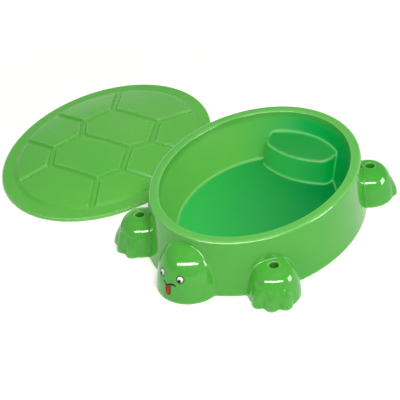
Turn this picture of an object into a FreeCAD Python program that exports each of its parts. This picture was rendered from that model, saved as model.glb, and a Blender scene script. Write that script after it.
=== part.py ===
"""Oval turtle sandbox in moulded plastic, with its shell cover lying on the ground beside it.

Millimetres, +Z up.  The head looks along -Y, the seat is at the +Y end, and the cover lies on
the -X side.  Each piece is drawn about the middle of the tub, and then all are moved together
so that the origin is on the ground under the middle of the whole set.
"""
import FreeCAD, Part

import math
import os

from FreeCAD import Base, Vector

# ---------------------------------------------------------------- driving dimensions
SKIN = 3.0                          # wall thickness of both mouldings

# Tub: an oval tub whose outer skirt spreads towards the ground. Pairs are half width, half length.
TUB_HEIGHT = 199.0
SKIRT_AT_GROUND = (346.0, 438.0)
SKIRT_AT_TOP = (324.0, 413.0)
RIM_WIDTH = 32.0                    # from the skirt's top edge to the basin's mouth
RIM_OUTER_ROUND = 9.0
RIM_INNER_ROUND = 6.0
FLOOR_HEIGHT = 30.0                 # upper face of the basin's floor
FLOOR_OVAL = (246.0, 324.0)

# Seat: a ledge across the tail end of the basin with a bowed front.
SEAT_HEIGHT = 122.0
SEAT_BOW_CENTRE_Y = 469.0
SEAT_BOW_RADIUS_LOW = 264.0
SEAT_BOW_RADIUS_TOP = 252.0
SEAT_HALF_WIDTH_LOW = 138.0
SEAT_HALF_WIDTH_TOP = 130.0
SEAT_CORNER_ROUND = 25.0

# Head: a dome standing on the ground in front of the skirt.
HEAD_CENTRE_Y = -406.0
HEAD_RADIUS = 106.0
HEAD_HEIGHT = 167.0
HEAD_SHOULDER = (3.0, 1.8)          # powers of the radius and of the height in the dome's formula

# Feet: four flatter domes with three toes each.
FOOT_CENTRE = (258.0, 306.0)        # of the front right foot, both as distances from the middle
FOOT_RADIUS = 88.0
FOOT_HEIGHT = 116.0
FOOT_SHOULDER = (3.6, 1.7)
TOE_ANGLES = (-97.0, -64.0, -31.0)  # degrees from +X on the front right foot
TOE_REACH = 72.0                    # from the socket's axis to a toe's own axis
TOE_RADIUS_LOW = 23.0
TOE_RADIUS_TOP = 18.0
TOE_HEIGHT = 36.0                   # up to where the toe's round top begins

# Sockets: a round blind hole in the top of each foot.
SOCKET_PLACE = (262.0, 309.0)
SOCKET_RADIUS = 15.0
SOCKET_FLOOR = 62.0                 # height of the socket's floor above the ground

# Cover: a flat oval flange with a short lip, a step, and a low dome cut by shallow grooves.
COVER_OVAL = (350.0, 457.0)
COVER_CLEARANCE = 4.0               # between the cover's lip and the tub's skirt
COVER_PLACE_Y = 70.0
COVER_TURN = 4.0                    # degrees about +Z
LIP_HEIGHT = 13.0
LIP_ROUND = 4.0
DOME_FOOT = (308.0, 402.0)          # where the step rises from the flange
STEP_RUN = 7.0
STEP_RISE = 10.0
DOME_RISE = 27.0                    # from the top of the step to the crown
GROOVE_WIDTH = 16.0
GROOVE_DEPTH = 7.0
NOTCH_RADIUS = 6.0                  # of the small notch in the lip
NOTCH_TURN = -14.0                  # degrees about +Z from the cover's head end

# Shell pattern: half width and place along the cover of the spine's corners, head end last.
SPINE_CORNERS = ((101.0, 188.0), (152.0, 66.0), (105.0, -12.0), (151.0, -132.0), (103.0, -220.0))
END_GROOVE_ANGLE = 25.0             # of the four end grooves, outwards from the long axis
SIDE_GROOVE_ANGLE = 8.0             # of the side grooves, towards the tail from straight across

# Face: thin stickers on the head. Angles are about the head's axis, from straight ahead.
STICKER = 0.4
FACE_TURN = -2.9
EYE_ANGLE = 22.6
EYE_HEIGHT = 90.0
EYE_RADIUS = 13.2
MOUTH_HALF_WIDTH = 25.5
MOUTH_HEIGHT = 64.0
MOUTH_LINE = 2.4
TONGUE_WIDTH = 17.0
TONGUE_LENGTH = 38.0
TONGUE_OFFSET = -4.0                # of the tongue from the middle of the mouth

TALL = 400.0                        # longer than anything it cuts
UP = Vector(0, 0, 1)


# ---------------------------------------------------------------- helpers
def oval_wire(oval, height, grow=0.0):
    """A closed ellipse about the Z axis, longer along Y, grown on every side by grow."""
    half_width = oval[0] + grow
    half_length = oval[1] + grow
    curve = Part.Ellipse(Vector(0, half_length, height), Vector(-half_width, 0, height),
                         Vector(0, 0, height))
    return Part.Wire([curve.toShape()])


def oval_frustum(low, low_height, high, high_height, grow=0.0):
    """A solid between two ellipses, with straight walls."""
    wires = [oval_wire(low, low_height, grow), oval_wire(high, high_height, grow)]
    return Part.makeLoft(wires, True, True)


def oval_at(low, low_height, high, high_height, height):
    """The ellipse at a height on the straight wall between two ellipses."""
    share = (height - low_height) / (high_height - low_height)
    return tuple(a + (b - a) * share for a, b in zip(low, high))


def dome(radius, height, radius_power, height_power, steps=12):
    """A dome of revolution on the ground: (r / radius)^p + (z / height)^q = 1."""
    points = []
    for step in range(steps + 1):
        slope = math.radians(90.0 * step / steps)
        out = radius * math.cos(slope) ** (2.0 / radius_power)
        up = height * math.sin(slope) ** (2.0 / height_power)
        points.append(Vector(out, 0, up))
    points[-1] = Vector(0, 0, height)
    side = Part.BSplineCurve()
    side.interpolate(points)
    outline = Part.Wire([side.toShape(),
                         Part.makeLine(points[-1], Vector(0, 0, 0)),
                         Part.makeLine(Vector(0, 0, 0), points[0])])
    return Part.Face(outline).revolve(Vector(0, 0, 0), UP, 360)


def stretched(shape, along_x, along_y):
    """The shape scaled separately along X and Y."""
    matrix = Base.Matrix()
    matrix.scale(Vector(along_x, along_y, 1.0))
    return shape.transformGeometry(matrix)


def moved(shape, x, y, z=0.0, turn=0.0):
    """A copy turned about Z and then moved."""
    copy = shape.copy()
    copy.rotate(Vector(0, 0, 0), UP, turn)
    copy.translate(Vector(x, y, z))
    return copy


def joined(shapes):
    """One solid from several that overlap."""
    first, rest = shapes[0], list(shapes[1:])
    return first.fuse(rest).removeSplitter()


def rounded_edges(shape, radius, chosen):
    """A fillet on the edges that chosen picks, by their bounding boxes."""
    edges = [edge for edge in shape.Edges if chosen(edge.BoundBox)]
    return shape.makeFillet(radius, edges)


def level_at(height):
    """Picks edges that lie flat at a height."""
    return lambda box: abs(box.ZMin - height) < 0.01 and abs(box.ZMax - height) < 0.01


# ---------------------------------------------------------------- tub
def basin_mouth():
    return tuple(half - RIM_WIDTH for half in SKIRT_AT_TOP)


def basin_space(grow=0.0):
    """The basin without its seat. It is grown to find the far side of its wall."""
    mouth = basin_mouth()
    above = TUB_HEIGHT + 2 * SKIN
    wide = oval_at(FLOOR_OVAL, FLOOR_HEIGHT, mouth, TUB_HEIGHT, above)
    return oval_frustum(FLOOR_OVAL, FLOOR_HEIGHT - grow, wide, above, grow)


def seat_block(shrink=0.0):
    """The bowed block under the seat, reaching back through the wall of the basin."""
    def plan(radius, half_width, height):
        front = SEAT_BOW_CENTRE_Y - radius
        corner_y = SEAT_BOW_CENTRE_Y - math.sqrt(radius ** 2 - half_width ** 2)
        left = Vector(-half_width, corner_y, height)
        right = Vector(half_width, corner_y, height)
        back_left = Vector(-half_width, SEAT_BOW_CENTRE_Y, height)
        back_right = Vector(half_width, SEAT_BOW_CENTRE_Y, height)
        bow = Part.Arc(left, Vector(0, front, height), right).toShape()
        return Part.Wire([bow, Part.makeLine(right, back_right),
                          Part.makeLine(back_right, back_left), Part.makeLine(back_left, left)])

    low = plan(SEAT_BOW_RADIUS_LOW - shrink, SEAT_HALF_WIDTH_LOW - shrink, FLOOR_HEIGHT - 2 * SKIN)
    top = plan(SEAT_BOW_RADIUS_TOP - shrink, SEAT_HALF_WIDTH_TOP - shrink, SEAT_HEIGHT - shrink)
    block = Part.makeLoft([low, top], True, True)

    def front_corner(box):
        upright = box.ZLength > SEAT_HEIGHT / 2
        return upright and box.YMax < SEAT_BOW_CENTRE_Y - 1
    return rounded_edges(block, SEAT_CORNER_ROUND - shrink, front_corner)


def head(shrink=0.0):
    body = dome(HEAD_RADIUS - shrink, HEAD_HEIGHT - shrink, *HEAD_SHOULDER)
    return moved(body, 0, HEAD_CENTRE_Y)


def toe(shrink=0.0):
    """A tapered pillar with a round top, standing at the origin."""
    pillar = Part.makeCone(TOE_RADIUS_LOW - shrink, TOE_RADIUS_TOP - shrink, TOE_HEIGHT)
    ball = Part.makeSphere(TOE_RADIUS_TOP - shrink)
    return pillar.fuse(moved(ball, 0, 0, TOE_HEIGHT))


def front_right_foot(shrink=0.0):
    body = dome(FOOT_RADIUS - shrink, FOOT_HEIGHT - shrink, *FOOT_SHOULDER)
    pieces = [moved(body, FOOT_CENTRE[0], -FOOT_CENTRE[1])]
    for angle in TOE_ANGLES:
        x = SOCKET_PLACE[0] + TOE_REACH * math.cos(math.radians(angle))
        y = -SOCKET_PLACE[1] + TOE_REACH * math.sin(math.radians(angle))
        pieces.append(moved(toe(shrink), x, y))
    return joined(pieces)


def at_four_corners(shape):
    """The shape and its mirror images across both middle planes."""
    beside = shape.mirror(Vector(0, 0, 0), Vector(1, 0, 0))
    pair = [shape, beside]
    return pair + [one.mirror(Vector(0, 0, 0), Vector(0, 1, 0)) for one in pair]


def socket(radius, floor_height):
    """An upright round bar from a socket's floor up past the foot."""
    foot = Vector(SOCKET_PLACE[0], -SOCKET_PLACE[1], floor_height)
    return Part.makeCylinder(radius, TALL, foot)


def tub_outside():
    body = oval_frustum(SKIRT_AT_GROUND, 0.0, SKIRT_AT_TOP, TUB_HEIGHT)
    body = body.cut(basin_space().cut(seat_block()))
    mouth_edge = basin_mouth()[0] + 1.0
    at_top = level_at(TUB_HEIGHT)
    body = rounded_edges(body, RIM_OUTER_ROUND, lambda box: at_top(box) and box.XMax > mouth_edge)
    body = rounded_edges(body, RIM_INNER_ROUND, at_top)
    return body


def tub_underside():
    """The space between the ground and the inner faces of the skin."""
    top = oval_at(SKIRT_AT_GROUND, 0.0, SKIRT_AT_TOP, TUB_HEIGHT, TUB_HEIGHT - SKIN)
    skirt_space = oval_frustum(SKIRT_AT_GROUND, 0.0, top, TUB_HEIGHT - SKIN, -SKIN)
    spaces = [skirt_space, head(SKIN)] + at_four_corners(front_right_foot(SKIN))
    below_basin = basin_space(SKIN).cut(seat_block(SKIN))
    walls = [below_basin] + at_four_corners(socket(SOCKET_RADIUS + SKIN, SOCKET_FLOOR - SKIN))
    space = joined(spaces)
    for wall in walls:
        space = space.cut(wall)
    return space


def tub():
    body = tub_outside()
    basin = basin_space().cut(seat_block())
    blisters = [head()] + at_four_corners(front_right_foot())
    body = joined([body] + [blister.cut(basin) for blister in blisters])
    body = body.cut(tub_underside())
    for bore in at_four_corners(socket(SOCKET_RADIUS, SOCKET_FLOOR)):
        body = body.cut(bore)
    return body


# ---------------------------------------------------------------- cover
def cover_dome(drop=0.0, shrink=0.0):
    """The step and the crown above it. drop lowers it, shrink gives its inner face."""
    foot_height = LIP_HEIGHT - shrink
    step_top = tuple(half - STEP_RUN for half in DOME_FOOT)
    step_height = foot_height + STEP_RISE - drop
    step = oval_frustum(DOME_FOOT, foot_height - SKIN, step_top, step_height, -shrink)
    half_width = step_top[0] - shrink
    half_length = step_top[1] - shrink
    sphere_radius = (half_width ** 2 + DOME_RISE ** 2) / (2 * DOME_RISE)
    ball = Part.makeSphere(sphere_radius, Vector(0, 0, step_height + DOME_RISE - sphere_radius))
    slab = Part.makeCylinder(sphere_radius, TALL, Vector(0, 0, step_height))
    cap = stretched(ball.common(slab), 1.0, half_length / half_width)
    return step.fuse(cap)


def groove_bar(start, end, width):
    """An upright bar along one groove, with round ends."""
    run = Vector(end[0] - start[0], end[1] - start[1], 0)
    length = run.Length
    bar = Part.makeBox(length, width, TALL, Vector(0, -width / 2, 0))
    turn = math.degrees(math.atan2(run.y, run.x))
    caps = [Part.makeCylinder(width / 2, TALL, Vector(x, y, 0)) for x, y in (start, end)]
    return moved(bar, start[0], start[1], 0, turn).fuse(caps)


def groove_lines():
    """The start and end of every groove, in the cover's own frame."""
    lines = []
    corners = SPINE_CORNERS
    for side in (-1, 1):
        for (w1, y1), (w2, y2) in zip(corners, corners[1:]):
            lines.append(((side * w1, y1), (side * w2, y2)))
        for width, y in (corners[0], corners[-1]):
            angle = math.radians(END_GROOVE_ANGLE)
            end = (side * (width + TALL * math.sin(angle)),
                   y + math.copysign(TALL, y) * math.cos(angle))
            lines.append(((side * width, y), end))
        for width, y in (corners[1], corners[3]):
            angle = math.radians(SIDE_GROOVE_ANGLE)
            end = (side * (width + TALL * math.cos(angle)), y + TALL * math.sin(angle))
            lines.append(((side * width, y), end))
    for width, y in corners[::2]:
        lines.append(((-width, y), (width, y)))
    return lines


def shell_panels(shrink=0.0):
    """The raised dome, cut into panels by the grooves."""
    width = GROOVE_WIDTH + 2 * shrink
    bars = [groove_bar(start, end, width) for start, end in groove_lines()]
    return cover_dome(0.0, shrink).cut(bars[0].fuse(bars[1:]))


def cover_place():
    """Centre of the cover on the ground, just clear of the skirt."""
    turn = math.radians(COVER_TURN)
    reach = math.hypot(COVER_OVAL[0] * math.cos(turn), COVER_OVAL[1] * math.sin(turn))
    return -(SKIRT_AT_GROUND[0] + COVER_CLEARANCE + reach), COVER_PLACE_Y


def cover():
    flange = Part.Face(oval_wire(COVER_OVAL, 0.0)).extrude(Vector(0, 0, LIP_HEIGHT))
    flange = rounded_edges(flange, LIP_ROUND, level_at(LIP_HEIGHT))
    body = flange.fuse(cover_dome(GROOVE_DEPTH)).fuse(shell_panels())
    under_outline = oval_wire(COVER_OVAL, 0.0, -SKIN)
    under_flange = Part.Face(under_outline).extrude(Vector(0, 0, LIP_HEIGHT - SKIN))
    for space in (under_flange, cover_dome(GROOVE_DEPTH, SKIN), shell_panels(SKIN)):
        body = body.cut(space)
    notch_start = Vector(0, 3 * LIP_HEIGHT - COVER_OVAL[1], 0)
    notch = Part.makeCylinder(NOTCH_RADIUS, TALL, notch_start, Vector(0, -1, 0))
    body = body.cut(moved(notch, 0, 0, 0, NOTCH_TURN)).removeSplitter()
    x, y = cover_place()
    return moved(body, x, y, 0, COVER_TURN)


# ---------------------------------------------------------------- face
def facing(shape, angle, height=0.0):
    """A shape drawn ahead of the head's axis, turned to an angle on the head."""
    copy = shape.copy()
    copy.translate(Vector(0, 0, height))
    copy.rotate(Vector(0, 0, 0), UP, angle)
    copy.translate(Vector(0, HEAD_CENTRE_Y, 0))
    return copy


def sticker_film():
    """A thin layer over the whole head."""
    return head(-STICKER).cut(head())


def eye(angle):
    disc = Part.makeCylinder(EYE_RADIUS, TALL, Vector(0, 0, 0), Vector(0, -1, 0))
    return sticker_film().common(facing(disc, FACE_TURN + angle, EYE_HEIGHT))


def mouth_outline():
    """A wavy line: down to the tongue, up past the middle, and a little down at its end."""
    points = [Vector(-1.0 * MOUTH_HALF_WIDTH, 0, 3.0), Vector(-0.45 * MOUTH_HALF_WIDTH, 0, -5.0),
              Vector(0.1 * MOUTH_HALF_WIDTH, 0, -1.0), Vector(0.6 * MOUTH_HALF_WIDTH, 0, 4.0),
              Vector(1.0 * MOUTH_HALF_WIDTH, 0, 2.0)]
    half = MOUTH_LINE / 2
    upper = Part.BSplineCurve()
    upper.interpolate([point + Vector(0, 0, half) for point in points])
    lower = Part.BSplineCurve()
    lower.interpolate([point - Vector(0, 0, half) for point in points])
    ends = [Part.makeLine(upper.StartPoint, lower.StartPoint),
            Part.makeLine(upper.EndPoint, lower.EndPoint)]
    return Part.Face(Part.Wire(Part.sortEdges([upper.toShape(), lower.toShape()] + ends)[0]))


def tongue_outline():
    """A tongue hanging from the mouth, straight at its top and round at its tip."""
    half = TONGUE_WIDTH / 2
    left = TONGUE_OFFSET - half
    right = TONGUE_OFFSET + half
    bend = half - TONGUE_LENGTH
    tip = Part.Arc(Vector(left, 0, bend), Vector(TONGUE_OFFSET, 0, -TONGUE_LENGTH),
                   Vector(right, 0, bend)).toShape()
    lines = [Part.makeLine(Vector(right, 0, bend), Vector(right, 0, 0)),
             Part.makeLine(Vector(right, 0, 0), Vector(left, 0, 0)),
             Part.makeLine(Vector(left, 0, 0), Vector(left, 0, bend))]
    return Part.Face(Part.Wire([tip] + lines))


def mouth():
    ahead = Vector(0, -TALL, 0)
    bars = [mouth_outline().extrude(ahead), tongue_outline().extrude(ahead)]
    return sticker_film().common(facing(joined(bars), FACE_TURN, MOUTH_HEIGHT))


# ---------------------------------------------------------------- write the pieces
def set_middle():
    """The middle of the set's outline, seen from above."""
    turn = math.radians(COVER_TURN)
    cover_x, cover_y = cover_place()
    reach_x = math.hypot(COVER_OVAL[0] * math.cos(turn), COVER_OVAL[1] * math.sin(turn))
    reach_y = math.hypot(COVER_OVAL[1] * math.cos(turn), COVER_OVAL[0] * math.sin(turn))
    outer_toe = TOE_REACH * math.cos(math.radians(TOE_ANGLES[-1])) + TOE_RADIUS_LOW
    left = cover_x - reach_x
    right = SOCKET_PLACE[0] + outer_toe
    near = HEAD_CENTRE_Y - HEAD_RADIUS
    far = cover_y + reach_y
    return (left + right) / 2, (near + far) / 2


def main():
    os.makedirs("parts", exist_ok=True)
    pieces = {
        "tub": tub(),
        "cover": cover(),
        "left_eye_sticker": eye(EYE_ANGLE),
        "right_eye_sticker": eye(-EYE_ANGLE),
        "mouth_sticker": mouth(),
    }
    middle_x, middle_y = set_middle()
    print("tub's middle is at", round(-middle_x, 2), round(-middle_y, 2))
    for name, shape in pieces.items():
        solid = moved(shape, -middle_x, -middle_y).Solids[0]
        box = solid.optimalBoundingBox(False)
        state = "valid" if solid.isValid() and len(shape.Solids) == 1 else "NOT ONE VALID SOLID"
        print(name, state, round(solid.Volume / 1000.0, 2), "cm3",
              [round(v, 1) for v in (box.XMin, box.XMax, box.YMin, box.YMax, box.ZMin, box.ZMax)])
        solid.exportStep("parts/" + name + ".step")


main()
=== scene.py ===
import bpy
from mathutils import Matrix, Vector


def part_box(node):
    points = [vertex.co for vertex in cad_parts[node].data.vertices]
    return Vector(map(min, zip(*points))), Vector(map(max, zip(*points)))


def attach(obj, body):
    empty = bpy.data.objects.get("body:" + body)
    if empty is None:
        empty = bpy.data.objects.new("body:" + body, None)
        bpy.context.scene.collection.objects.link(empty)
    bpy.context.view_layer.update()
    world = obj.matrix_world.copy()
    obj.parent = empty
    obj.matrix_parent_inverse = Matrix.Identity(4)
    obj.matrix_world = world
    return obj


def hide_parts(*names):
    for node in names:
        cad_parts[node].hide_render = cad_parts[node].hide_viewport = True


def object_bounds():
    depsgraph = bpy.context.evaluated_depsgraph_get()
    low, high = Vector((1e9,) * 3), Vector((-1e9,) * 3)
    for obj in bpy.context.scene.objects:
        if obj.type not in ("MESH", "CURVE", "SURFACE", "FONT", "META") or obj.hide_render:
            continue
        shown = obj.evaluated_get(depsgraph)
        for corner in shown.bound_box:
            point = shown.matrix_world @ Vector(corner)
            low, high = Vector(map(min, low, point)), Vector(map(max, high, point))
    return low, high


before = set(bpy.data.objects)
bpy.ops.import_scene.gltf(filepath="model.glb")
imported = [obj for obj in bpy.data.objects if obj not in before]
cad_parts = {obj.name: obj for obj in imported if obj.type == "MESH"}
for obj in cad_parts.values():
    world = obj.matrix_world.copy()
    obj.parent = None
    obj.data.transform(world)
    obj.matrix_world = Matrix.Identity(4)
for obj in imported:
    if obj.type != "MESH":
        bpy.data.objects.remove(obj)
cad_box = [list(corner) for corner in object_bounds()]

# Looks of the turtle sandbox and its cover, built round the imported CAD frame.
#
# Both mouldings are described by distance formulas, negative inside the plastic and the hollow
# under it. A surface mesher walks over each formula and gives a smooth skin of even thickness.
# Lengths are in metres. "Tub frame" and "cover frame" mean the row frame moved to the middle of
# the tub or of the cover, with the head towards -Y in both.

import math

import bpy
import numpy as np
from mathutils import Matrix, Quaternion, Vector

MM = 0.001
NEAR_ZERO = 1e-5                    # stands in for zero where a formula divides

# ---------------------------------------------------------------- sizes
# These are the CAD's, except that roundings are softer, grooves deeper and printed lines bolder,
# the toes are lobes, and the feet and the cover are a hair smaller, to stay inside the CAD's box.
SKIN = 3.0 * MM

TUB_HEIGHT = 199 * MM
SKIRT_AT_GROUND = (346 * MM, 438 * MM)
SKIRT_AT_TOP = (324 * MM, 413 * MM)
RIM_WIDTH = 32 * MM
RIM_OUTER_ROUND = 11 * MM
RIM_INNER_ROUND = 7 * MM
FLOOR_HEIGHT = 30 * MM
FLOOR_OVAL = (246 * MM, 324 * MM)
FLOOR_ROUND = 12 * MM

SEAT_HEIGHT = 122 * MM
SEAT_BOW_CENTRE_Y = 469 * MM
SEAT_BOW_RADIUS_LOW = 264 * MM
SEAT_BOW_RADIUS_TOP = 252 * MM
SEAT_HALF_WIDTH_LOW = 138 * MM
SEAT_HALF_WIDTH_TOP = 130 * MM
SEAT_CORNER_ROUND = 25 * MM
SEAT_EDGE_ROUND = 8 * MM

HEAD_CENTRE_Y = -406 * MM
HEAD_RADIUS = 106 * MM
HEAD_HEIGHT = 167 * MM
HEAD_POWERS = (3.0, 1.8)
CREASE_ROUND = 6 * MM

FOOT_CENTRE = (258 * MM, 306 * MM)
FOOT_RADIUS = 87 * MM
FOOT_HEIGHT = 115.5 * MM
FOOT_POWERS = (3.6, 1.7)
TOE_COUNT = 3
FIRST_TOE_ANGLE = math.radians(31)
TOE_SPACING = math.radians(33)
TOE_PUSH = 12.5 * MM                # how far a toe stands out of the foot at the ground
TOE_FADE_HEIGHT = 66 * MM           # the toes have melted into the foot at this height
TOE_FADE_POWER = 1.8                # how long they keep their push on the way up

SOCKET_PLACE = (262 * MM, 309 * MM)
SOCKET_RADIUS = 15 * MM
SOCKET_FLOOR = 62 * MM
SOCKET_MOUTH_ROUND = 4 * MM

COVER_OVAL = (349.9 * MM, 456.9 * MM)
COVER_TURN = math.radians(4)
LIP_HEIGHT = 13 * MM
LIP_ROUND = 5 * MM
DOME_FOOT = (308 * MM, 402 * MM)
STEP_RISE = 10 * MM
DOME_RISE = 27 * MM
STEP_LEAN = 0.7                     # how far the step leans in for each unit it rises
STEP_ROUND = 6 * MM
GROOVE_HALF_FLOOR = 6 * MM
GROOVE_HALF_TOP = 15 * MM
GROOVE_DEPTH = 10 * MM
NOTCH_RADIUS = 6 * MM
NOTCH_LENGTH = 39 * MM
NOTCH_ANGLE = math.radians(-14)
# Half the width of the middle panels at their corners, and each corner's Y, in millimetres.
SPINE_CORNERS = ((101, 188), (152, 66), (105, -12), (151, -132), (103, -220))
END_GROOVE_ANGLE = math.radians(25)
SIDE_GROOVE_ANGLE = math.radians(8)

FACE_TURN = math.radians(-2.9)
EYE_ANGLE = math.radians(22.6)
EYE_HEIGHT = 90 * MM
EYE_RADIUS = 13.2 * MM
EYE_RING = 3.4 * MM
PUPIL_RADIUS = 5.0 * MM
PUPIL_OFFSET = (-2.6 * MM, -5.2 * MM)
MOUTH_HALF_WIDTH = 25.5 * MM
MOUTH_HEIGHT = 64 * MM
MOUTH_LINE = 6.0 * MM
# A dip, then a crest: each one's height, its middle and its width as shares of half the mouth.
MOUTH_WAVES = ((-6.0 * MM, -0.42, 0.26), (4.0 * MM, 0.48, 0.38))
MOUTH_END_RISE = 9.0 * MM           # the left end turns up at this slope, from halfway out
TONGUE_WIDTH = 20 * MM
TONGUE_LENGTH = 37 * MM
TONGUE_OFFSET = -4 * MM
TONGUE_OUTLINE = 3.6 * MM
FOLD_HALF_WIDTH = 0.5 * MM
FOLD_TOP = MOUTH_HEIGHT - 4 * MM
FOLD_LENGTH = 14.4 * MM
FILM = 0.3 * MM                     # thickness of a sticker
INK = 0.08 * MM                     # each printed layer stands this far above the one below

# ---------------------------------------------------------------- colours
TUB_GREEN = (0.048, 0.385, 0.034, 1)
TUB_GREEN_PALE = (0.070, 0.405, 0.041, 1)
# The cover's greens are paler than the tub's as painted light on its upward-facing panels; the deep
# green is painted shade for the grooves.
COVER_GREEN = (0.100, 0.485, 0.058, 1)
COVER_GREEN_PALE = (0.125, 0.505, 0.070, 1)
COVER_GREEN_PAINTED_SHADE = (0.080, 0.44, 0.05, 1)
# Painted light: a paler green for the rim's upward face, as if lit from above.
RIM_GREEN_PAINTED_LIGHT = (0.100, 0.47, 0.070, 1)
# Painted light and shade in the basin: lit and shaded copies of the greens of walls, floor and seat.
BASIN_WALL_LIT = (0.150, 0.56, 0.095, 1)
BASIN_WALL_SHADED = (0.0, 0.44, 0.085, 1)
BASIN_FLOOR_LIT = (0.034, 0.465, 0.090, 1)
BASIN_FLOOR_SHADED = (0.0, 0.21, 0.045, 1)
SEAT_TOP_SHADED = (0.020, 0.33, 0.060, 1)
SEAT_FRONT_LIT = (0.055, 0.62, 0.140, 1)
# Painted highlight: the pale green of the thin lines along edges and roundings.
PAINTED_HIGHLIGHT_GREEN = (0.34, 0.66, 0.26, 1)
STREAK_TINT = (0.85, 0.92, 0.92, 1)
SPECK_TINT = (0.7, 0.85, 0.8, 1)
STICKER_WHITE = (0.86, 0.87, 0.86, 1)
STICKER_WHITE_DIM = (0.80, 0.81, 0.80, 1)
INK_BLACK = (0.003, 0.003, 0.004, 1)
INK_BLACK_DIM = (0.007, 0.007, 0.008, 1)
INK_RED = (0.66, 0.006, 0.014, 1)
INK_RED_DIM = (0.56, 0.005, 0.010, 1)
FLOOR_WHITE = (0.90, 0.90, 0.90, 1)
FLOOR_WHITE_DIM = (0.87, 0.87, 0.87, 1)
WHITE_LIGHT = (1, 1, 1)
WARM_LIGHT = (1.0, 0.95, 0.86)
COOL_LIGHT = (0.90, 0.97, 1.0)

# Painted shade: the basin's greens deepen towards one side, over these spans in metres from the tub's
# middle.
SHADED_SIDE = Vector((0.80, 0.60, 0))
WALL_SHADE_SPAN = (-0.06, 0.19)
SEAT_SHADE_SPAN = (0.10, 0.26)
FLOOR_SHADE_SPAN = (-0.20, 0.24)
# Painted light and shade: the seat's lit front and shaded top begin this far back.
SEAT_FROM_MIDDLE = 160 * MM         # the seat's greens begin this far back

# Strength of the painted highlight lines on roundings.
HIGHLIGHT_LINE_STRENGTH = 0.42                # of the pale lines on roundings
CLEAR_GLOSS = 0.42                  # specular level outside the basin
BASIN_GLOSS = 0.16
COVER_GLOSS = 0.30
BASIN_DULLNESS = 0.25               # added to the roughness
COVER_DULLNESS = 0.16

# ---------------------------------------------------------------- view, lights, floor and mesher
# The camera leans over a little, as in the reference view, with a slightly wider frame.
VIEW_AZIMUTH = 37.29
VIEW_ELEVATION = 36.36
VIEW_DISTANCE = 4.2675
VIEW_ROLL = 4.5
VIEW_AIM = Vector((-0.0114, -0.2642, 0.2391))
FRAMING_SHIFT = Vector((-0.019, -0.014, 0))  # brings the whole cover into the frame
LENS = 120.5

STUDIO_SPAN = 20.0
STUDIO_STEPS = 24
STUDIO_DROP = 0.5 * MM              # keeps the studio's floor just clear of the skirt's edge
GLOW_SPAN = (0.9, 3.0)              # the floor's glow grows between these distances
GLOW = (0.30, 0.75)
WORLD_LIGHT = 0.42

# Each soft box's name, azimuth and elevation in degrees, distance and size in metres, watts,
# colour, and the one kind of light that it doesn't give.
LIGHTS = (
    ("key", 60, 66, 3.6, (1.6, 1.6), 100, WARM_LIGHT, "visible_glossy"),
    ("front_strip", 33, 30, 3.0, (5.0, 0.36), 215, WHITE_LIGHT, "visible_diffuse"),
    ("right_window", 112, 11, 3.4, (1.3, 0.9), 62, WHITE_LIGHT, "visible_diffuse"),
    ("back_left", -125, 10, 3.4, (3.0, 0.5), 6, COOL_LIGHT, "visible_diffuse"),
)

TUB_CELL = 4.0 * MM                 # the mesher's spacing
COVER_CELL = 3.5 * MM
SETTLE_ROUNDS = 3                   # of moving the points onto the surface
LONGEST_MOVE = 2 * MM               # of a point in one round
LEAST_SLOPE = 0.05                  # squared; keeps a point from flying off where it is flat
RELAX_ROUNDS = 3                    # of moving each point halfway to its neighbours' mean

tub_low, tub_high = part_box("tub")
cover_low, cover_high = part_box("cover")
TUB_MIDDLE = Vector(((tub_low.x + tub_high.x) / 2, tub_low.y - HEAD_CENTRE_Y + HEAD_RADIUS, 0))
COVER_MIDDLE = Vector(((cover_low.x + cover_high.x) / 2, (cover_low.y + cover_high.y) / 2, 0))
SET_MIDDLE = (Vector(cad_box[0]) + Vector(cad_box[1])) / 2


# ---------------------------------------------------------------- distance formulas
def rounded_both(a, b, radius):
    """What is inside both shapes, with the edge between them rounded."""
    corner = np.hypot(np.maximum(a + radius, 0), np.maximum(b + radius, 0))
    return np.minimum(-radius, np.maximum(a, b)) + corner


def rounded_either(a, b, radius):
    """What is inside either shape, with the crease between them filled."""
    return -rounded_both(-a, -b, radius)


def oval_distance(x, y, half_width, half_length):
    """Distance outside an upright oval wall, close to true near the wall."""
    share = np.hypot(x / half_width, y / half_length)
    slope = np.hypot(x / half_width ** 2, y / half_length ** 2)
    return share * (share - 1) / np.maximum(slope, 1e-3)


def between(low, high, share):
    """The sizes a share of the way from low to high."""
    return tuple(a + (b - a) * share for a, b in zip(low, high))


def dome_distance(out, z, radius, height, powers):
    """Distance outside a dome of revolution: (out / radius)^p + (z / height)^q = 1."""
    p, q = powers
    mean = (p + q) / 2
    out = np.maximum(out, NEAR_ZERO)
    up = np.maximum(np.abs(z), NEAR_ZERO)
    level = (out / radius) ** p + (up / height) ** q
    slope_out = p / radius * (out / radius) ** (p - 1)
    slope_up = q / height * (up / height) ** (q - 1)
    slope = np.hypot(slope_out, slope_up)
    return (level ** (1 / mean) - 1) * mean * level ** (1 - 1 / mean) / slope


def basin_distance(x, y, z):
    """Distance outside the open space of the basin, before the seat is taken from it."""
    mouth = tuple(half - RIM_WIDTH for half in SKIRT_AT_TOP)
    share = (z - FLOOR_HEIGHT) / (TUB_HEIGHT - FLOOR_HEIGHT)
    wall = oval_distance(x, y, *between(FLOOR_OVAL, mouth, share))
    return rounded_both(wall, FLOOR_HEIGHT - z, FLOOR_ROUND)


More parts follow.
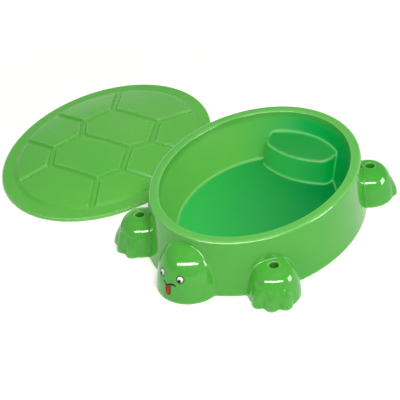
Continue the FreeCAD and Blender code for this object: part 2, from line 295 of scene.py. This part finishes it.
def seat_distance(x, y, z):
    """Distance outside the block under the seat, which runs back through the basin's wall."""
    share = (z - FLOOR_HEIGHT) / (SEAT_HEIGHT - FLOOR_HEIGHT)
    radius = SEAT_BOW_RADIUS_LOW + (SEAT_BOW_RADIUS_TOP - SEAT_BOW_RADIUS_LOW) * share
    half_width = SEAT_HALF_WIDTH_LOW + (SEAT_HALF_WIDTH_TOP - SEAT_HALF_WIDTH_LOW) * share
    bow = np.hypot(x, y - SEAT_BOW_CENTRE_Y) - radius
    bow = np.where(y > SEAT_BOW_CENTRE_Y, np.abs(x) - radius, bow)
    sides = rounded_both(bow, np.abs(x) - half_width, SEAT_CORNER_ROUND)
    return rounded_both(sides, z - SEAT_HEIGHT, SEAT_EDGE_ROUND)


def foot_distance(x, y, z):
    """Distance outside all four feet with their toes; x and y are mirrored into one corner."""
    across = np.abs(x) - FOOT_CENTRE[0]
    along = np.abs(y) - FOOT_CENTRE[1]
    turn = (np.arctan2(along, across) - FIRST_TOE_ANGLE) / TOE_SPACING
    on_toes = (turn > -0.5) & (turn < TOE_COUNT - 0.5)
    lobe = np.where(on_toes, np.abs(np.cos(math.pi * turn)), 0)
    fade = 1 - np.clip(z / TOE_FADE_HEIGHT, 0, 1) ** TOE_FADE_POWER
    out = np.hypot(across, along) - TOE_PUSH * lobe * fade
    return dome_distance(out, z, FOOT_RADIUS, FOOT_HEIGHT, FOOT_POWERS)


def socket_distance(x, y, z):
    """Distance outside the round hole in the top of each foot."""
    out = np.hypot(np.abs(x) - SOCKET_PLACE[0], np.abs(y) - SOCKET_PLACE[1])
    return rounded_both(out - SOCKET_RADIUS, SOCKET_FLOOR - z, SKIN)


def tub_distance(x, y, z):
    """Distance outside the tub, in the tub frame."""
    skirt = oval_distance(x, y, *between(SKIRT_AT_GROUND, SKIRT_AT_TOP, z / TUB_HEIGHT))
    body = rounded_both(skirt, z - TUB_HEIGHT, RIM_OUTER_ROUND)
    head_out = np.hypot(x, y - HEAD_CENTRE_Y)
    head = dome_distance(head_out, z, HEAD_RADIUS, HEAD_HEIGHT, HEAD_POWERS)
    body = rounded_either(body, head, CREASE_ROUND)
    body = rounded_either(body, foot_distance(x, y, z), CREASE_ROUND)
    body = rounded_both(body, -socket_distance(x, y, z), SOCKET_MOUTH_ROUND)
    basin = rounded_both(basin_distance(x, y, z), -seat_distance(x, y, z), FLOOR_ROUND)
    return rounded_both(body, -basin, RIM_INNER_ROUND)


def groove_lines():
    """The start and end of every groove between the shell panels, in the cover frame."""
    lines = []
    corners = [(width * MM, y * MM) for width, y in SPINE_CORNERS]
    reach = COVER_OVAL[1]
    for side in (-1, 1):
        for (w1, y1), (w2, y2) in zip(corners, corners[1:]):
            lines.append(((side * w1, y1), (side * w2, y2)))
        for width, y in (corners[0], corners[-1]):
            end_x = side * (width + reach * math.sin(END_GROOVE_ANGLE))
            end_y = y + math.copysign(reach, y) * math.cos(END_GROOVE_ANGLE)
            lines.append(((side * width, y), (end_x, end_y)))
        for width, y in (corners[1], corners[3]):
            end_x = side * (width + reach * math.cos(SIDE_GROOVE_ANGLE))
            lines.append(((side * width, y), (end_x, y + reach * math.sin(SIDE_GROOVE_ANGLE))))
    for width, y in corners[::2]:
        lines.append(((-width, y), (width, y)))
    return lines


def distance_to_line(x, y, start, end):
    """Distance in plan from a straight piece of line."""
    run_x = end[0] - start[0]
    run_y = end[1] - start[1]
    share = ((x - start[0]) * run_x + (y - start[1]) * run_y) / (run_x ** 2 + run_y ** 2)
    share = np.clip(share, 0, 1)
    return np.hypot(x - start[0] - share * run_x, y - start[1] - share * run_y)


def smooth_step(value):
    """0 up to 1, with a level start and end."""
    value = np.clip(value, 0, 1)
    return value * value * (3 - 2 * value)


def crown_height(x, y):
    """Height of the cover's dome over a point of its plan."""
    nearest = np.full(np.broadcast(x, y).shape, 1.0)
    for start, end in groove_lines():
        nearest = np.minimum(nearest, distance_to_line(x, y, start, end))
    panel = smooth_step((nearest - GROOVE_HALF_FLOOR) / (GROOVE_HALF_TOP - GROOVE_HALF_FLOOR))
    share = (x / DOME_FOOT[0]) ** 2 + (y / DOME_FOOT[1]) ** 2
    crown = DOME_RISE * (1 - np.minimum(share, 1.5))    # level far outside the dome
    return LIP_HEIGHT + STEP_RISE + crown - GROOVE_DEPTH * (1 - panel)


def cover_distance(x, y, z):
    """Distance outside the cover, in the cover frame."""
    edge = oval_distance(x, y, *COVER_OVAL)
    flange = rounded_both(edge, z - LIP_HEIGHT, LIP_ROUND)
    foot = oval_distance(x, y, *DOME_FOOT) + STEP_LEAN * (z - LIP_HEIGHT)
    foot = foot / math.hypot(1, STEP_LEAN)
    crown = rounded_both(foot, z - crown_height(x, y), STEP_ROUND)
    body = rounded_either(flange, crown, STEP_ROUND)
    across = x * math.cos(NOTCH_ANGLE) + y * math.sin(NOTCH_ANGLE)
    notch = np.maximum(np.hypot(across, z) - NOTCH_RADIUS, y + COVER_OVAL[1] - NOTCH_LENGTH)
    return rounded_both(body, -notch, SKIN)


# ---------------------------------------------------------------- surface mesher
CORNERS = [(i, j, k) for i in (0, 1) for j in (0, 1) for k in (0, 1)]
CELL_EDGES = [(a, b) for a in range(8) for b in range(a + 1, 8)
              if sum(abs(p - q) for p, q in zip(CORNERS[a], CORNERS[b])) == 1]


def slopes(distance, points, step=0.2 * MM):
    """Gradient of the distance at each point."""
    found = np.empty_like(points)
    for axis in range(3):
        ahead = points.copy()
        behind = points.copy()
        ahead[:, axis] += step
        behind[:, axis] -= step
        found[:, axis] = (distance(*ahead.T) - distance(*behind.T)) / (2 * step)
    return found


def settled(distance, points, on_ground):
    """Points moved onto the surface. Those on the ground stay on it."""
    for _ in range(SETTLE_ROUNDS):
        gradient = slopes(distance, points)
        gradient[on_ground, 2] = 0
        size = np.maximum((gradient ** 2).sum(1), LEAST_SLOPE)
        move = np.clip(distance(*points.T) / size, -LONGEST_MOVE, LONGEST_MOVE)
        points = points - move[:, None] * gradient
    return points


def sample_axes(low, high, cell):
    """Even sample places along each axis. The lowest layer of cells straddles the ground."""
    counts = [int(math.ceil((high[a] - low[a]) / cell)) + 3 for a in range(3)]
    starts = [(low[a] + high[a] - (counts[a] - 1) * cell) / 2 for a in range(2)] + [-cell / 2]
    return [start + cell * np.arange(count) for start, count in zip(starts, counts)]


def at_corner(values, corner):
    """The samples at one corner of every cell."""
    return values[tuple(slice(at, at + count - 1) for at, count in zip(corner, values.shape))]


def cell_points(field, axes, cell):
    """A point in every cell that the surface passes through, and each cell's point number."""
    filled = sum(at_corner(field < 0, corner).astype(np.int8) for corner in CORNERS)
    mixed = (filled > 0) & (filled < len(CORNERS))
    place = np.argwhere(mixed)
    number = np.full(mixed.shape, -1)
    number[mixed] = np.arange(len(place))

    values = np.stack([at_corner(field, corner)[mixed] for corner in CORNERS], 1)
    total = np.zeros((len(place), 3))
    crossings = np.zeros(len(place))
    for a, b in CELL_EDGES:
        cuts = (values[:, a] < 0) != (values[:, b] < 0)
        gap = np.where(cuts, values[:, a] - values[:, b], 1)
        share = values[:, a] / gap
        start = np.array(CORNERS[a], float)
        end = np.array(CORNERS[b], float)
        crossing = start + share[:, None] * (end - start)
        total += np.where(cuts[:, None], crossing, 0)
        crossings += cuts
    starts = np.array([axis[0] for axis in axes])
    points = starts + cell * (place + total / crossings[:, None])
    on_ground = place[:, 2] == 0
    points[on_ground, 2] = 0
    return points, number, on_ground


def crossing_faces(inside, number):
    """A four-cornered face round every sample-to-sample step that the surface cuts."""
    faces = []
    for axis in range(3):
        u, v = [a for a in range(3) if a != axis]
        take = [slice(None)] * 3
        take[axis] = slice(0, -1)
        nearer = inside[tuple(take)]
        take[axis] = slice(1, None)
        further = inside[tuple(take)]
        cut = np.argwhere(nearer != further)
        off_edge = (cut[:, u] > 0) & (cut[:, v] > 0)
        off_edge &= (cut[:, u] < number.shape[u]) & (cut[:, v] < number.shape[v])
        cut = cut[off_edge]
        leaves = nearer[tuple(cut.T)]
        ring = []
        for du, dv in ((-1, -1), (0, -1), (0, 0), (-1, 0)):
            at = cut.copy()
            at[:, u] += du
            at[:, v] += dv
            ring.append(number[tuple(at.T)])
        ring = np.stack(ring, 1)
        forward = leaves if axis != 1 else ~leaves      # from X to Z turns the other way
        ring[~forward] = ring[~forward][:, ::-1]
        faces.append(ring)
    return np.concatenate(faces)


def surface_net(distance, low, high, cell):
    """Points and four-cornered faces over the zero surface, open where it meets the ground."""
    axes = sample_axes(low, high, cell)
    field = distance(*np.meshgrid(*axes, indexing="ij", sparse=True))
    field = field + np.zeros([len(axis) for axis in axes])
    points, number, on_ground = cell_points(field, axes, cell)
    return points, crossing_faces(field < 0, number), on_ground


def relaxed(distance, points, faces, on_ground):
    """The same surface with its faces evened out."""
    pairs = np.concatenate([faces[:, [a, (a + 1) % 4]] for a in range(4)])
    pairs = np.concatenate([pairs, pairs[:, ::-1]])
    along = on_ground[pairs[:, 0]] & ~on_ground[pairs[:, 1]]
    pairs = pairs[~along]
    number = np.maximum(np.bincount(pairs[:, 0], minlength=len(points)), 1)
    for _ in range(RELAX_ROUNDS):
        mean = np.stack([np.bincount(pairs[:, 0], points[pairs[:, 1], a], len(points)) / number
                         for a in range(3)], 1)
        points = settled(distance, points + 0.5 * (mean - points), on_ground)
    return points


def ground_edges(faces):
    """Edges that only one face uses, in that face's direction."""
    pairs = np.concatenate([faces[:, [a, (a + 1) % 4]] for a in range(4)])
    size = faces.max() + 1
    key = np.minimum(pairs[:, 0], pairs[:, 1]) * size + np.maximum(pairs[:, 0], pairs[:, 1])
    _, first, uses = np.unique(key, return_index=True, return_counts=True)
    return pairs[first[uses == 1]]


def moulded_skin(name, distance, low, high, cell, place, material):
    """A closed skin of even thickness behind the zero surface of a distance formula.

    place is the matrix from the formula's own frame to the row frame.
    """
    points, faces, on_ground = surface_net(distance, low, high, cell)
    points = settled(distance, points, on_ground)
    points = relaxed(distance, points, faces, on_ground)
    normals = slopes(distance, points)
    normals /= np.linalg.norm(normals, axis=1)[:, None]
    level = normals.copy()
    level[on_ground, 2] = 0
    level /= np.linalg.norm(level, axis=1)[:, None]
    inner = points - SKIN * level
    count = len(points)
    # The outer faces, the inner ones turned over, and a strip that joins them on the ground.
    edges = ground_edges(faces)
    ring = np.stack([edges[:, 1], edges[:, 0], edges[:, 0] + count, edges[:, 1] + count], 1)
    all_faces = np.concatenate([faces, faces[:, ::-1] + count, ring])
    mesh = bpy.data.meshes.new(name)
    mesh.from_pydata(np.concatenate([points, inner]).tolist(), [], all_faces.tolist())
    mesh.polygons.foreach_set("use_smooth", np.ones(len(all_faces), bool))
    corner_normals = np.concatenate([normals, -level])[all_faces.ravel()]
    corner_normals[-4 * len(ring):] = (0, 0, -1)
    turn = np.array(place.to_3x3())
    mesh.transform(place)
    mesh.normals_split_custom_set((corner_normals @ turn.T).tolist())
    mesh.update()
    print(name, len(points), "points a side,", len(ring), "ground edges")
    return placed(name, mesh, material)


def placed(name, mesh, material):
    """An object in the scene for a finished mesh."""
    mesh.materials.append(material)
    piece = bpy.data.objects.new(name, mesh)
    bpy.context.scene.collection.objects.link(piece)
    return piece


# ---------------------------------------------------------------- node helpers
class Nodes:
    """A short way to build one material's nodes."""

    def __init__(self, name):
        self.material = bpy.data.materials.new(name)
        self.material.use_nodes = True
        self.tree = self.material.node_tree
        self.shader = self.tree.nodes["Principled BSDF"]
        self.place = self.new("ShaderNodeTexCoord").outputs["Object"]

    def new(self, kind, **values):
        node = self.tree.nodes.new(kind)
        for key, value in values.items():
            setattr(node, key, value)
        return node

    def link(self, source, target):
        """Feeds an input from an output, or sets it to a plain value."""
        if hasattr(source, "is_output"):
            self.tree.links.new(source, target)
        else:
            target.default_value = source

    def noise(self, scale, detail=3.0, roughness=0.5, stretch=None):
        node = self.new("ShaderNodeTexNoise")
        place = self.place
        if stretch:
            mapping = self.new("ShaderNodeMapping")
            mapping.inputs["Scale"].default_value = stretch
            self.link(place, mapping.inputs["Vector"])
            place = mapping.outputs["Vector"]
        self.link(place, node.inputs["Vector"])
        node.inputs["Scale"].default_value = scale
        node.inputs["Detail"].default_value = detail
        node.inputs["Roughness"].default_value = roughness
        return node.outputs["Fac"]

    def ranged(self, value, low, high, to_low=0.0, to_high=1.0):
        """A value between low and high, moved to between to_low and to_high and held there."""
        node = self.new("ShaderNodeMapRange")
        self.link(value, node.inputs["Value"])
        limits = {"From Min": low, "From Max": high, "To Min": to_low, "To Max": to_high}
        for name, number in limits.items():
            node.inputs[name].default_value = number
        return node.outputs["Result"]

    def mix(self, share, first, second, blend="MIX"):
        node = self.new("ShaderNodeMix", data_type="RGBA", blend_type=blend)
        self.link(share, node.inputs["Factor"])
        self.link(first, node.inputs[6])
        self.link(second, node.inputs[7])
        return node.outputs[2]

    def math(self, operation, first, second=0.0):
        node = self.new("ShaderNodeMath", operation=operation)
        self.link(first, node.inputs[0])
        self.link(second, node.inputs[1])
        return node.outputs["Value"]

    def product(self, *shares):
        """All the shares multiplied together."""
        result = shares[0]
        for share in shares[1:]:
            result = self.math("MULTIPLY", result, share)
        return result

    def parts(self, vector):
        """The X, Y and Z of a vector."""
        node = self.new("ShaderNodeSeparateXYZ")
        self.link(vector, node.inputs["Vector"])
        return [node.outputs[axis] for axis in "XYZ"]

    def tinted(self, share, colour, tint):
        """The colour, multiplied by a tint for a share of it."""
        return self.mix(share, colour, self.mix(1.0, colour, tint, "MULTIPLY"))

    def bump(self, height, strength, distance, before=None):
        node = self.new("ShaderNodeBump")
        node.inputs["Strength"].default_value = strength
        node.inputs["Distance"].default_value = distance
        self.link(height, node.inputs["Height"])
        if before:
            self.link(before, node.inputs["Normal"])
        return node.outputs["Normal"]


def share_across(n):
    """How far over a point is to the shaded side of the tub, in metres from its middle."""
    across = n.new("ShaderNodeVectorMath", operation="DOT_PRODUCT")
    n.link(n.place, across.inputs[0])
    across.inputs[1].default_value = SHADED_SIDE
    return n.math("SUBTRACT", across.outputs["Value"], TUB_MIDDLE.dot(SHADED_SIDE))


def share_within(n):
    """1 inside the oval mouth of the basin, 0 outside it."""
    mouth = [half - RIM_WIDTH for half in SKIRT_AT_TOP]
    mapping = n.new("ShaderNodeMapping")
    mapping.inputs["Scale"].default_value = (1 / mouth[0], 1 / mouth[1], 0)
    mapping.inputs["Location"].default_value = (-TUB_MIDDLE.x / mouth[0], -TUB_MIDDLE.y / mouth[1], 0)
    n.link(n.place, mapping.inputs["Vector"])
    length = n.new("ShaderNodeVectorMath", operation="LENGTH")
    n.link(mapping.outputs["Vector"], length.inputs[0])
    return n.ranged(length.outputs["Value"], 0.97, 1.0, 1.0, 0.0)


def on_seat(n, x, y, z):
    """1 on the seat's block, 0 elsewhere."""
    start = TUB_MIDDLE.y + SEAT_FROM_MIDDLE
    behind = n.ranged(y, start, start + 10 * MM)
    beside = n.math("ABSOLUTE", n.math("SUBTRACT", x, TUB_MIDDLE.x))
    abreast = n.ranged(beside, SEAT_HALF_WIDTH_LOW, SEAT_HALF_WIDTH_LOW + 3 * MM, 1.0, 0.0)
    under = n.ranged(z, SEAT_HEIGHT, SEAT_HEIGHT + 3 * MM, 1.0, 0.0)
    return n.product(behind, abreast, under)


def basin_painted_light_and_shade(n, x, y, z, upward):
    """Fuller greens for the basin as painted light and shade, standing in for light that bounces from
    wall to wall: lit and shaded copies for walls, seat and floor, deepest at one side.
    """
    across = share_across(n)
    level = n.ranged(upward, 0.5, 0.95)
    # Painted light and shade: walls, seat front and floor darken towards the shaded side, and the
    # seat's top is shaded.
    walls = n.mix(n.ranged(across, *WALL_SHADE_SPAN), BASIN_WALL_LIT, BASIN_WALL_SHADED)
    seat_front = n.mix(n.ranged(across, *SEAT_SHADE_SPAN), SEAT_FRONT_LIT, BASIN_WALL_SHADED)
    seat = n.mix(level, seat_front, SEAT_TOP_SHADED)
    floor = n.mix(n.ranged(across, *FLOOR_SHADE_SPAN), BASIN_FLOOR_LIT, BASIN_FLOOR_SHADED)
    low = n.ranged(z, FLOOR_HEIGHT + 5 * MM, FLOOR_HEIGHT + 40 * MM, 1.0, 0.0)
    return n.mix(n.product(low, level), n.mix(on_seat(n, x, y, z), walls, seat), floor)


def clouded(n, green, pale):
    """Slow cloudiness between two greens."""
    return n.mix(n.ranged(n.noise(2.6, 3.0), 0.35, 0.65), green, pale)


def pointedness(n):
    """More than 0.5 on an edge, less in a groove."""
    return n.new("ShaderNodeNewGeometry").outputs["Pointiness"]


def worn_plastic_with_painted_highlights(n, colour, gloss, dullness):
    """Glossy plastic over a colour: streaks, specks, pale edges that are painted highlight broken up
    like wear, scratches and orange peel.
    """
    streak = n.ranged(n.noise(5.0, 4.0, 0.6, (1.0, 1.0, 0.25)), 0.5, 0.8, 0.0, 0.30)
    colour = n.tinted(streak, colour, STREAK_TINT)
    speck = n.ranged(n.noise(900.0, 1.0), 0.70, 0.78, 0.0, 0.25)
    colour = n.tinted(speck, colour, SPECK_TINT)
    # Painted highlight on sharp edges, broken up like wear; the same mask roughens them a little.
    edge = n.ranged(pointedness(n), 0.51, 0.56)
    broken = n.ranged(n.noise(60.0, 4.0, 0.65), 0.30, 0.62, 0.3, 1.0)
    edge_highlight_and_wear = n.product(edge, broken, 0.65)
    n.link(n.mix(edge_highlight_and_wear, colour, PAINTED_HIGHLIGHT_GREEN), n.shader.inputs["Base Color"])
    haze = n.ranged(n.noise(9.0, 5.0, 0.6), 0.35, 0.70, 0.07, 0.15)
    scratch = n.ranged(n.noise(70.0, 3.0, 0.6, (1.0, 9.0, 1.0)), 0.66, 0.74, 0.0, 0.12)
    rough = n.math("ADD", n.math("ADD", haze, scratch), n.product(edge_highlight_and_wear, 0.3))
    n.link(n.math("ADD", rough, dullness), n.shader.inputs["Roughness"])
    n.link(gloss, n.shader.inputs["Specular IOR Level"])
    waves = n.bump(n.noise(22.0, 1.0), 0.10, 1.2 * MM)
    peel = n.bump(n.noise(260.0, 2.0), 0.10, 0.15 * MM, waves)
    n.link(peel, n.shader.inputs["Normal"])
    return n.material


def tub_plastic():
    """Green plastic with a paler rim as painted light, fuller greens in the basin as painted light
    and shade, and pale lines on roundings as painted highlight.
    """
    n = Nodes("tub_plastic")
    x, y, z = n.parts(n.place)
    upward = n.parts(n.new("ShaderNodeNewGeometry").outputs["Normal"])[2]
    within = share_within(n)
    # Painted light: the rim's top gets a paler green where light falls on it.
    on_rim = n.ranged(z, TUB_HEIGHT - 4 * MM, TUB_HEIGHT - 1 * MM)
    colour = n.mix(on_rim, clouded(n, TUB_GREEN, TUB_GREEN_PALE), RIM_GREEN_PAINTED_LIGHT)
    # Inside the basin, its painted light and shade take over the colour.
    colour = n.mix(within, colour, basin_painted_light_and_shade(n, x, y, z, upward))
    # Painted highlight: pale lines on roundings that lean part way up, inside the basin and near the
    # rim.
    rounding = n.math("MINIMUM", n.ranged(upward, 0.50, 0.62, 0.0, HIGHLIGHT_LINE_STRENGTH),
                      n.ranged(upward, 0.74, 0.86, HIGHLIGHT_LINE_STRENGTH, 0.0))
    near_rim = n.ranged(z, TUB_HEIGHT - 9 * MM, TUB_HEIGHT - 6 * MM)
    lines = n.product(rounding, n.math("MAXIMUM", within, near_rim))
    colour = n.mix(lines, colour, PAINTED_HIGHLIGHT_GREEN)
    gloss = n.ranged(within, 0.0, 1.0, CLEAR_GLOSS, BASIN_GLOSS)
    return worn_plastic_with_painted_highlights(n, colour, gloss, n.product(within, BASIN_DULLNESS))


def cover_plastic():
    """The tub's plastic a little paler, as painted light on the upward-facing cover, with deeper
    green in the grooves as painted shade.
    """
    n = Nodes("cover_plastic")
    # Painted shade: deeper green in the grooves.
    groove_shade = n.ranged(pointedness(n), 0.42, 0.495, 0.8, 0.0)
    colour = n.mix(groove_shade, clouded(n, COVER_GREEN, COVER_GREEN_PALE), COVER_GREEN_PAINTED_SHADE)
    return worn_plastic_with_painted_highlights(n, colour, COVER_GLOSS, COVER_DULLNESS)


def printed_film(name, ink, other):
    """A printed vinyl sticker: faint grain in the ink, a gloss that varies a little."""
    n = Nodes(name)
    grain = n.ranged(n.noise(700.0, 2.0), 0.35, 0.70)
    n.link(n.mix(grain, ink, other), n.shader.inputs["Base Color"])
    n.link(n.ranged(n.noise(90.0, 3.0), 0.3, 0.7, 0.30, 0.42), n.shader.inputs["Roughness"])
    n.shader.inputs["Specular IOR Level"].default_value = 0.15
    n.link(n.bump(n.noise(300.0, 1.0), 0.05, 0.1 * MM), n.shader.inputs["Normal"])
    return n.material


# ---------------------------------------------------------------- tub and cover
def make_tub():
    low = tub_low - TUB_MIDDLE
    high = tub_high - TUB_MIDDLE
    place = Matrix.Translation(TUB_MIDDLE)
    tub = moulded_skin("tub_moulding", tub_distance, low, high, TUB_CELL, place, tub_plastic())
    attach(tub, "tub")
    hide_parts("tub")


def make_cover():
    half = Vector((COVER_OVAL[0], COVER_OVAL[1], 0))
    high = half + Vector((0, 0, cover_high.z))
    place = Matrix.Translation(COVER_MIDDLE) @ Matrix.Rotation(COVER_TURN, 4, "Z")
    cover = moulded_skin("cover_moulding", cover_distance, -half, high, COVER_CELL, place,
                         cover_plastic())
    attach(cover, "cover")
    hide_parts("cover")


# ---------------------------------------------------------------- face stickers
def on_head(across, up, angle, proud):
    """A point of the head, in the tub frame, seen from straight ahead at an angle round it.

    across and up are measured in the plane that faces that way; up is a height above ground.
    """
    radius = HEAD_RADIUS + proud
    height = HEAD_HEIGHT + proud
    out_power, up_power = HEAD_POWERS
    out = radius * (1 - (up / height) ** up_power) ** (1 / out_power)
    ahead = -math.sqrt(out ** 2 - across ** 2)
    x = across * math.cos(angle) - ahead * math.sin(angle)
    y = across * math.sin(angle) + ahead * math.cos(angle)
    return (x, y + HEAD_CENTRE_Y, up)


def film_piece(name, grid, closed, angle, base, top, material):
    """A thin closed sheet on the head. grid is rows of (across, up) points.

    closed joins the ends of every row, and then the first row is a single middle point.
    """
    points = []
    faces = []
    across_count = len(grid[-1])
    for level in (top, base):
        for row in grid:
            points += [on_head(across, up, angle, level) for across, up in row]
    row_starts = np.cumsum([0] + [len(row) for row in grid])
    layer = int(row_starts[-1])

    def cell_faces():
        for r in range(len(grid) - 1):
            first, second = int(row_starts[r]), int(row_starts[r + 1])
            for c in range(across_count if closed else across_count - 1):
                d = (c + 1) % across_count
                if len(grid[r]) == 1:
                    yield (first, second + c, second + d)
                else:
                    yield (first + c, second + c, second + d, first + d)

    for face in cell_faces():
        faces.append(face)
        faces.append(tuple(layer + i for i in reversed(face)))
    uses = {}
    for face in faces[::2]:
        for a, b in zip(face, face[1:] + face[:1]):
            uses[(a, b)] = uses.get((b, a), 0)
    for a, b in list(uses):
        if (b, a) not in uses:
            faces.append((b, a, a + layer, b + layer))
    mesh = bpy.data.meshes.new(name)
    mesh.from_pydata(points, [], faces)
    mesh.polygons.foreach_set("use_smooth", np.ones(len(faces), bool))
    mesh.update()
    mesh.set_sharp_from_angle(angle=math.radians(40))
    piece = placed(name, mesh, material)
    piece.location = TUB_MIDDLE
    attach(piece, "tub")
    return piece


def disc_grid(across, up, radius, inner=0.0, rings=5, steps=48):
    """Rows of a round disc, or of a flat ring if inner is set."""
    rows = [] if inner else [[(across, up)]]
    for ring in range(0 if inner else 1, rings + 1):
        out = inner + (radius - inner) * ring / rings
        rows.append([(across + out * math.cos(2 * math.pi * s / steps),
                      up + out * math.sin(2 * math.pi * s / steps)) for s in range(steps)])
    return rows


def make_eye(side, angle, white, black):
    """A white disc in a black ring, with a black pupil low in it."""
    angle = FACE_TURN + angle
    film = film_piece(side + "_eye_white", disc_grid(0, EYE_HEIGHT, EYE_RADIUS), True, angle,
                      0.0, FILM, white)
    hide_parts(side + "_eye_sticker")
    ring_grid = disc_grid(0, EYE_HEIGHT, EYE_RADIUS, inner=EYE_RADIUS - EYE_RING, rings=2)
    ring = film_piece(side + "_eye_ring", ring_grid, True, angle, FILM / 2, FILM + INK, black)
    pupil_grid = disc_grid(PUPIL_OFFSET[0], EYE_HEIGHT + PUPIL_OFFSET[1], PUPIL_RADIUS,
                           rings=3, steps=32)
    pupil = film_piece(side + "_pupil", pupil_grid, True, angle, FILM / 2, FILM + INK, black)


def mouth_wave(share):
    """Height of the mouth's line over its middle; share runs from -1 to 1 across it."""
    waves = sum(height * math.exp(-((share - middle) / width) ** 2)
                for height, middle, width in MOUTH_WAVES)
    return waves + MOUTH_END_RISE * max(-share - 0.5, 0)


def mouth_rows(steps=48):
    """Three rows of points along the mouth's line, which thins towards its ends."""
    rows = []
    for side in (1, 0, -1):
        row = []
        for step in range(steps + 1):
            share = -1 + 2 * step / steps
            half = MOUTH_LINE / 2 * (1 - 0.75 * abs(share) ** 5)
            row.append((share * MOUTH_HALF_WIDTH, MOUTH_HEIGHT + mouth_wave(share) + side * half))
        rows.append(row)
    return rows


def tongue_rows(half, length, steps=16):
    """Rows of points down a tongue with a round tip, which hangs from the mouth's line."""
    hair = 0.01 * MM                # stops the tip from closing to a point
    top = MOUTH_HEIGHT + mouth_wave(TONGUE_OFFSET / MOUTH_HALF_WIDTH)
    rows = []
    for step in range(steps + 1):
        down = (length - hair) * math.sin(math.pi / 2 * step / steps)
        into_tip = max(down + half - length, 0.0)
        width = half * math.sqrt(max(1 - (into_tip / half) ** 2, 0.0)) + hair
        rows.append([(TONGUE_OFFSET + width * across / 4, top - down) for across in range(-4, 5)])
    return rows


def fold_rows(steps=12):
    """Rows of points down the thin line in the middle of the tongue."""
    return [[(TONGUE_OFFSET + side * FOLD_HALF_WIDTH, FOLD_TOP - FOLD_LENGTH * step / steps)
             for side in (-1, 0, 1)] for step in range(steps + 1)]


def make_mouth(red, black):
    """A wavy line with a tongue hanging from it."""
    def film(name, rows, base, top, ink):
        return film_piece(name, rows, False, FACE_TURN, base, top, ink)

    half = TONGUE_WIDTH / 2
    line = film("mouth_line", mouth_rows(), 0.0, FILM + 2 * INK, black)
    back = film("tongue_outline", tongue_rows(half, TONGUE_LENGTH), 0.0, FILM, black)
    front_rows = tongue_rows(half - TONGUE_OUTLINE, TONGUE_LENGTH - TONGUE_OUTLINE)
    front = film("tongue", front_rows, FILM / 2, FILM + INK, red)
    fold = film("tongue_fold", fold_rows(), FILM / 2, FILM + 2 * INK, black)
    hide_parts("mouth_sticker")


def make_face():
    white = printed_film("white_film", STICKER_WHITE, STICKER_WHITE_DIM)
    black = printed_film("black_ink", INK_BLACK, INK_BLACK_DIM)
    red = printed_film("red_ink", INK_RED, INK_RED_DIM)
    make_eye("left", EYE_ANGLE, white, black)
    make_eye("right", -EYE_ANGLE, white, black)
    make_mouth(red, black)


# ---------------------------------------------------------------- studio
def floor_material():
    """Pale matt paper that glows more further out, so that the studio has no dark edge."""
    n = Nodes("pale_floor")
    mottle = n.ranged(n.noise(3.0, 3.0), 0.3, 0.7)
    n.link(n.mix(mottle, FLOOR_WHITE, FLOOR_WHITE_DIM), n.shader.inputs["Base Color"])
    n.shader.inputs["Roughness"].default_value = 0.9
    n.shader.inputs["Specular IOR Level"].default_value = 0.0
    n.shader.inputs["Emission Color"].default_value = (1, 1, 1, 1)
    away = n.new("ShaderNodeVectorMath", operation="LENGTH")
    n.link(n.place, away.inputs[0])
    glow = n.ranged(away.outputs["Value"], *GLOW_SPAN, *GLOW)
    n.link(glow, n.shader.inputs["Emission Strength"])
    return n.material


def make_floor():
    """A pale floor in a grid."""
    row = STUDIO_STEPS + 1
    points = []
    for j in range(row):
        for i in range(row):
            x = SET_MIDDLE.x + STUDIO_SPAN * (i / STUDIO_STEPS - 0.5)
            y = SET_MIDDLE.y + STUDIO_SPAN * (j / STUDIO_STEPS - 0.5)
            points.append((x, y, -STUDIO_DROP))
    faces = [(j * row + i, j * row + i + 1, (j + 1) * row + i + 1, (j + 1) * row + i)
             for j in range(STUDIO_STEPS) for i in range(STUDIO_STEPS)]
    mesh = bpy.data.meshes.new("floor")
    mesh.from_pydata(points, [], faces)
    placed("floor", mesh, floor_material())


def direction(azimuth, elevation):
    """Unit vector from the object towards a viewer at these angles in degrees."""
    a = math.radians(azimuth)
    e = math.radians(elevation)
    return Vector((math.sin(a) * math.cos(e), -math.cos(a) * math.cos(e), math.sin(e)))


def make_light(name, azimuth, elevation, distance, size, power, colour, hidden):
    """A soft box that faces the tub. hidden names the kind of light that it doesn't give."""
    data = bpy.data.lights.new(name, "AREA")
    data.color = colour
    data.shape = "RECTANGLE"
    data.size = size[0]
    data.size_y = size[1]
    data.energy = power
    light = bpy.data.objects.new(name, data)
    back = direction(azimuth, elevation)
    light.location = TUB_MIDDLE + back * distance
    light.rotation_euler = (-back).to_track_quat("-Z", "Y").to_euler()
    setattr(light, hidden, False)
    bpy.context.scene.collection.objects.link(light)


def make_world():
    world = bpy.data.worlds.new("studio")
    world.use_nodes = True
    background = world.node_tree.nodes["Background"]
    background.inputs["Color"].default_value = (1, 1, 1, 1)
    background.inputs["Strength"].default_value = WORLD_LIGHT
    bpy.context.scene.world = world
    bpy.context.scene.view_settings.view_transform = "Standard"


def make_camera():
    """The camera stands where the reference view was taken from, a little wider in angle."""
    data = bpy.data.cameras.new("camera")
    data.lens = LENS
    data.sensor_width = 36
    data.clip_start = 0.1
    data.clip_end = 60
    camera = bpy.data.objects.new("camera", data)
    back = direction(VIEW_AZIMUTH, VIEW_ELEVATION)
    camera.location = TUB_MIDDLE + VIEW_AIM + FRAMING_SHIFT + back * VIEW_DISTANCE
    level = (-back).to_track_quat("-Z", "Y")
    camera.rotation_mode = "QUATERNION"
    camera.rotation_quaternion = level @ Quaternion((0, 0, 1), math.radians(-VIEW_ROLL))
    bpy.context.scene.collection.objects.link(camera)
    bpy.context.scene.camera = camera


make_camera()
make_world()
for light_values in LIGHTS:
    make_light(*light_values)
make_floor()
make_tub()
make_cover()
make_face()
